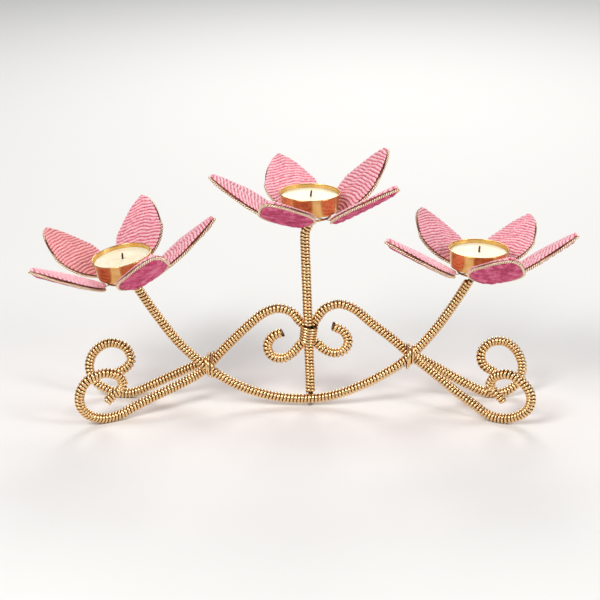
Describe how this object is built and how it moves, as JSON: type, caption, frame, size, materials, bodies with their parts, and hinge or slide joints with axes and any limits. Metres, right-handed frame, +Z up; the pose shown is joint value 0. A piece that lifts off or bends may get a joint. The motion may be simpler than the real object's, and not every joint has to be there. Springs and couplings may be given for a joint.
{
  "type": "three-arm tealight holder",
  "caption": "Wire-wrapped scroll frame on four curled feet that carries tealight cups in petalled flower seats, each tealight lifting out.",
  "frame": {"origin": "on the table, under the middle of the overall bounding box", "axes": "+Z up, +X to the right of the front view along the longest side, +Y to the back"},
  "size_m": [0.3392, 0.1212, 0.1641],
  "materials": {
    "rod_brass": "bare, slightly aged",
    "wound_brass_wire": "bright wound wire with dark gaps",
    "beaded_cord": "pale pink wound rows",
    "dark_wire": "dark brown-red",
    "gold_cord": "twisted cream-gold cord",
    "velvet": "deep magenta pile",
    "cup_aluminium": "copper-coloured, thin drawn foil",
    "wax": "cream paraffin wax",
    "wick_cotton": "dark red-brown cotton",
    "tab_steel": "thin tinplate"
  },
  "bodies": {
    "frame": {"bow_rod": "rod_brass", "bow_wrap": "wound_brass_wire", "stem_rod": "rod_brass", "stem_lower_wrap": "wound_brass_wire", "stem_upper_wrap": "wound_brass_wire", "left_scroll_rod": "rod_brass", "left_scroll_wrap": "wound_brass_wire", "right_scroll_rod": "rod_brass", "right_scroll_wrap": "wound_brass_wire", "left_rear_foot_rod": "rod_brass", "left_rear_foot_wrap": "wound_brass_wire", "right_rear_foot_rod": "rod_brass", "right_rear_foot_wrap": "wound_brass_wire", "centre_binding": "wound_brass_wire", "left_seat_dish": "rod_brass", "left_petal_ring": "rod_brass", "left_petal_1": "beaded_cord", "left_petal_2": "beaded_cord", "left_petal_3": "beaded_cord", "left_petal_4": "beaded_cord", "left_petal_5": "beaded_cord", "left_petal_wires": "dark_wire", "left_rim_cords": "gold_cord", "left_velvet_backs": "velvet", "centre_seat_dish": "rod_brass", "centre_petal_ring": "rod_brass", "centre_petal_1": "beaded_cord", "centre_petal_2": "beaded_cord", "centre_petal_3": "beaded_cord", "centre_petal_4": "beaded_cord", "centre_petal_5": "beaded_cord", "centre_petal_wires": "dark_wire", "centre_rim_cords": "gold_cord", "centre_velvet_backs": "velvet", "right_seat_dish": "rod_brass", "right_petal_ring": "rod_brass", "right_petal_1": "beaded_cord", "right_petal_2": "beaded_cord", "right_petal_3": "beaded_cord", "right_petal_4": "beaded_cord", "right_petal_5": "beaded_cord", "right_petal_wires": "dark_wire", "right_rim_cords": "gold_cord", "right_velvet_backs": "velvet"},
    "left_tealight": {"left_cup": "cup_aluminium", "left_wax": "wax", "left_wick": "wick_cotton", "left_wick_tab": "tab_steel"},
    "centre_tealight": {"centre_cup": "cup_aluminium", "centre_wax": "wax", "centre_wick": "wick_cotton", "centre_wick_tab": "tab_steel"},
    "right_tealight": {"right_cup": "cup_aluminium", "right_wax": "wax", "right_wick": "wick_cotton", "right_wick_tab": "tab_steel"}
  },
  "joints": [
    {"name": "left_lift", "type": "slide", "parent": "frame", "child": "left_tealight", "axis": [-0.1736, -0.0687, 0.9824], "range_m": [0, 0.06]},
    {"name": "centre_lift", "type": "slide", "parent": "frame", "child": "centre_tealight", "axis": [0, 0, 1], "range_m": [0, 0.06]},
    {"name": "right_lift", "type": "slide", "parent": "frame", "child": "right_tealight", "axis": [0.0174, 0, 0.9998], "range_m": [0, 0.06]}
  ]
}
